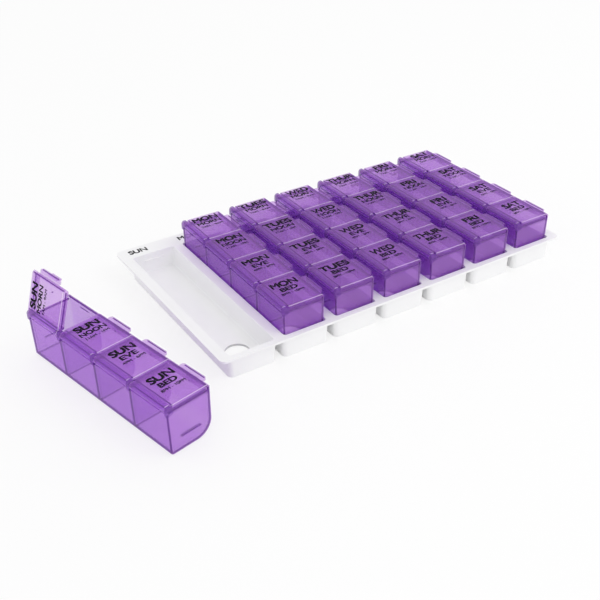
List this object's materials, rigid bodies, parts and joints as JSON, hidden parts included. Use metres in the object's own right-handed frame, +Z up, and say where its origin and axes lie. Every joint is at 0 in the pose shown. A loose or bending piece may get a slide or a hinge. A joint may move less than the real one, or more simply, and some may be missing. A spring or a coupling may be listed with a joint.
{
  "type": "weekly pill organizer",
  "caption": "Weekly pill organizer: a flat-rimmed tray of tubs holds lift-out translucent day boxes, each divided into dose compartments under snap-hinged lids with thumb tabs.",
  "frame": {"origin": "centre of the middle tub's underside, on the surface the tray stands on", "axes": "+Z up, +X from the Sunday pocket to the Saturday pocket, +Y towards the label strip at the back of the tray"},
  "size_m": [0.2995, 0.1622, 0.0509],
  "materials": {
    "tray_white": "moulded white plastic, semi-gloss",
    "box_purple": "translucent purple plastic, polished",
    "lid_purple": "translucent purple plastic, polished, black lettering on the top"
  },
  "bodies": {
    "tray": {"tray": "tray_white"},
    "box_sun": {"box_sun": "box_purple"},
    "lid_sun_bed": {"lid_sun_bed": "lid_purple"},
    "lid_sun_eve": {"lid_sun_eve": "lid_purple"},
    "lid_sun_noon": {"lid_sun_noon": "lid_purple"},
    "lid_sun_morn": {"lid_sun_morn": "lid_purple"},
    "box_mon": {"box_mon": "box_purple"},
    "lid_mon_bed": {"lid_mon_bed": "lid_purple"},
    "lid_mon_eve": {"lid_mon_eve": "lid_purple"},
    "lid_mon_noon": {"lid_mon_noon": "lid_purple"},
    "lid_mon_morn": {"lid_mon_morn": "lid_purple"},
    "box_tues": {"box_tues": "box_purple"},
    "lid_tues_bed": {"lid_tues_bed": "lid_purple"},
    "lid_tues_eve": {"lid_tues_eve": "lid_purple"},
    "lid_tues_noon": {"lid_tues_noon": "lid_purple"},
    "lid_tues_morn": {"lid_tues_morn": "lid_purple"},
    "box_wed": {"box_wed": "box_purple"},
    "lid_wed_bed": {"lid_wed_bed": "lid_purple"},
    "lid_wed_eve": {"lid_wed_eve": "lid_purple"},
    "lid_wed_noon": {"lid_wed_noon": "lid_purple"},
    "lid_wed_morn": {"lid_wed_morn": "lid_purple"},
    "box_thur": {"box_thur": "box_purple"},
    "lid_thur_bed": {"lid_thur_bed": "lid_purple"},
    "lid_thur_eve": {"lid_thur_eve": "lid_purple"},
    "lid_thur_noon": {"lid_thur_noon": "lid_purple"},
    "lid_thur_morn": {"lid_thur_morn": "lid_purple"},
    "box_fri": {"box_fri": "box_purple"},
    "lid_fri_bed": {"lid_fri_bed": "lid_purple"},
    "lid_fri_eve": {"lid_fri_eve": "lid_purple"},
    "lid_fri_noon": {"lid_fri_noon": "lid_purple"},
    "lid_fri_morn": {"lid_fri_morn": "lid_purple"},
    "box_sat": {"box_sat": "box_purple"},
    "lid_sat_bed": {"lid_sat_bed": "lid_purple"},
    "lid_sat_eve": {"lid_sat_eve": "lid_purple"},
    "lid_sat_noon": {"lid_sat_noon": "lid_purple"},
    "lid_sat_morn": {"lid_sat_morn": "lid_purple"}
  },
  "joints": [
    {"name": "box_sun_lift", "type": "slide", "parent": "tray", "child": "box_sun", "axis": [0, 0, 1], "range_m": [0, 0.04]},
    {"name": "lid_sun_bed_hinge", "type": "hinge", "parent": "box_sun", "child": "lid_sun_bed", "pos_m": [-0.16131, -0.07957, 0.0255], "axis": [0.2164, -0.9763, 0], "range_deg": [0, 110]},
    {"name": "lid_sun_eve_hinge", "type": "hinge", "parent": "box_sun", "child": "lid_sun_eve", "pos_m": [-0.1674, -0.05211, 0.0255], "axis": [0.2164, -0.9763, 0], "range_deg": [0, 110]},
    {"name": "lid_sun_noon_hinge", "type": "hinge", "parent": "box_sun", "child": "lid_sun_noon", "pos_m": [-0.17348, -0.02465, 0.0255], "axis": [0.2164, -0.9763, 0], "range_deg": [0, 110]},
    {"name": "lid_sun_morn_hinge", "type": "hinge", "parent": "box_sun", "child": "lid_sun_morn", "pos_m": [-0.17957, 0.00281, 0.0255], "axis": [0.2164, -0.9763, 0], "range_deg": [-72, 38]},
    {"name": "box_mon_lift", "type": "slide", "parent": "tray", "child": "box_mon", "axis": [0, 0, 1], "range_m": [0, 0.04]},
    {"name": "lid_mon_bed_hinge", "type": "hinge", "parent": "box_mon", "child": "lid_mon_bed", "pos_m": [-0.075, -0.04219, 0.0268], "axis": [0, -1, 0], "range_deg": [0, 110]},
    {"name": "lid_mon_eve_hinge", "type": "hinge", "parent": "box_mon", "child": "lid_mon_eve", "pos_m": [-0.075, -0.01406, 0.0268], "axis": [0, -1, 0], "range_deg": [0, 110]},
    {"name": "lid_mon_noon_hinge", "type": "hinge", "parent": "box_mon", "child": "lid_mon_noon", "pos_m": [-0.075, 0.01406, 0.0268], "axis": [0, -1, 0], "range_deg": [0, 110]},
    {"name": "lid_mon_morn_hinge", "type": "hinge", "parent": "box_mon", "child": "lid_mon_morn", "pos_m": [-0.075, 0.04219, 0.0268], "axis": [0, -1, 0], "range_deg": [0, 110]},
    {"name": "box_tues_lift", "type": "slide", "parent": "tray", "child": "box_tues", "axis": [0, 0, 1], "range_m": [0, 0.04]},
    {"name": "lid_tues_bed_hinge", "type": "hinge", "parent": "box_tues", "child": "lid_tues_bed", "pos_m": [-0.043, -0.04219, 0.0268], "axis": [0, -1, 0], "range_deg": [0, 110]},
    {"name": "lid_tues_eve_hinge", "type": "hinge", "parent": "box_tues", "child": "lid_tues_eve", "pos_m": [-0.043, -0.01406, 0.0268], "axis": [0, -1, 0], "range_deg": [0, 110]},
    {"name": "lid_tues_noon_hinge", "type": "hinge", "parent": "box_tues", "child": "lid_tues_noon", "pos_m": [-0.043, 0.01406, 0.0268], "axis": [0, -1, 0], "range_deg": [0, 110]},
    {"name": "lid_tues_morn_hinge", "type": "hinge", "parent": "box_tues", "child": "lid_tues_morn", "pos_m": [-0.043, 0.04219, 0.0268], "axis": [0, -1, 0], "range_deg": [0, 110]},
    {"name": "box_wed_lift", "type": "slide", "parent": "tray", "child": "box_wed", "axis": [0, 0, 1], "range_m": [0, 0.04]},
    {"name": "lid_wed_bed_hinge", "type": "hinge", "parent": "box_wed", "child": "lid_wed_bed", "pos_m": [-0.011, -0.04219, 0.0268], "axis": [0, -1, 0], "range_deg": [0, 110]},
    {"name": "lid_wed_eve_hinge", "type": "hinge", "parent": "box_wed", "child": "lid_wed_eve", "pos_m": [-0.011, -0.01406, 0.0268], "axis": [0, -1, 0], "range_deg": [0, 110]},
    {"name": "lid_wed_noon_hinge", "type": "hinge", "parent": "box_wed", "child": "lid_wed_noon", "pos_m": [-0.011, 0.01406, 0.0268], "axis": [0, -1, 0], "range_deg": [0, 110]},
    {"name": "lid_wed_morn_hinge", "type": "hinge", "parent": "box_wed", "child": "lid_wed_morn", "pos_m": [-0.011, 0.04219, 0.0268], "axis": [0, -1, 0], "range_deg": [0, 110]},
    {"name": "box_thur_lift", "type": "slide", "parent": "tray", "child": "box_thur", "axis": [0, 0, 1], "range_m": [0, 0.04]},
    {"name": "lid_thur_bed_hinge", "type": "hinge", "parent": "box_thur", "child": "lid_thur_bed", "pos_m": [0.021, -0.04219, 0.0268], "axis": [0, -1, 0], "range_deg": [0, 110]},
    {"name": "lid_thur_eve_hinge", "type": "hinge", "parent": "box_thur", "child": "lid_thur_eve", "pos_m": [0.021, -0.01406, 0.0268], "axis": [0, -1, 0], "range_deg": [0, 110]},
    {"name": "lid_thur_noon_hinge", "type": "hinge", "parent": "box_thur", "child": "lid_thur_noon", "pos_m": [0.021, 0.01406, 0.0268], "axis": [0, -1, 0], "range_deg": [0, 110]},
    {"name": "lid_thur_morn_hinge", "type": "hinge", "parent": "box_thur", "child": "lid_thur_morn", "pos_m": [0.021, 0.04219, 0.0268], "axis": [0, -1, 0], "range_deg": [0, 110]},
    {"name": "box_fri_lift", "type": "slide", "parent": "tray", "child": "box_fri", "axis": [0, 0, 1], "range_m": [0, 0.04]},
    {"name": "lid_fri_bed_hinge", "type": "hinge", "parent": "box_fri", "child": "lid_fri_bed", "pos_m": [0.053, -0.04219, 0.0268], "axis": [0, -1, 0], "range_deg": [0, 110]},
    {"name": "lid_fri_eve_hinge", "type": "hinge", "parent": "box_fri", "child": "lid_fri_eve", "pos_m": [0.053, -0.01406, 0.0268], "axis": [0, -1, 0], "range_deg": [0, 110]},
    {"name": "lid_fri_noon_hinge", "type": "hinge", "parent": "box_fri", "child": "lid_fri_noon", "pos_m": [0.053, 0.01406, 0.0268], "axis": [0, -1, 0], "range_deg": [0, 110]},
    {"name": "lid_fri_morn_hinge", "type": "hinge", "parent": "box_fri", "child": "lid_fri_morn", "pos_m": [0.053, 0.04219, 0.0268], "axis": [0, -1, 0], "range_deg": [0, 110]},
    {"name": "box_sat_lift", "type": "slide", "parent": "tray", "child": "box_sat", "axis": [0, 0, 1], "range_m": [0, 0.04]},
    {"name": "lid_sat_bed_hinge", "type": "hinge", "parent": "box_sat", "child": "lid_sat_bed", "pos_m": [0.085, -0.04219, 0.0268], "axis": [0, -1, 0], "range_deg": [0, 110]},
    {"name": "lid_sat_eve_hinge", "type": "hinge", "parent": "box_sat", "child": "lid_sat_eve", "pos_m": [0.085, -0.01406, 0.0268], "axis": [0, -1, 0], "range_deg": [0, 110]},
    {"name": "lid_sat_noon_hinge", "type": "hinge", "parent": "box_sat", "child": "lid_sat_noon", "pos_m": [0.085, 0.01406, 0.0268], "axis": [0, -1, 0], "range_deg": [0, 110]},
    {"name": "lid_sat_morn_hinge", "type": "hinge", "parent": "box_sat", "child": "lid_sat_morn", "pos_m": [0.085, 0.04219, 0.0268], "axis": [0, -1, 0], "range_deg": [0, 110]}
  ]
}
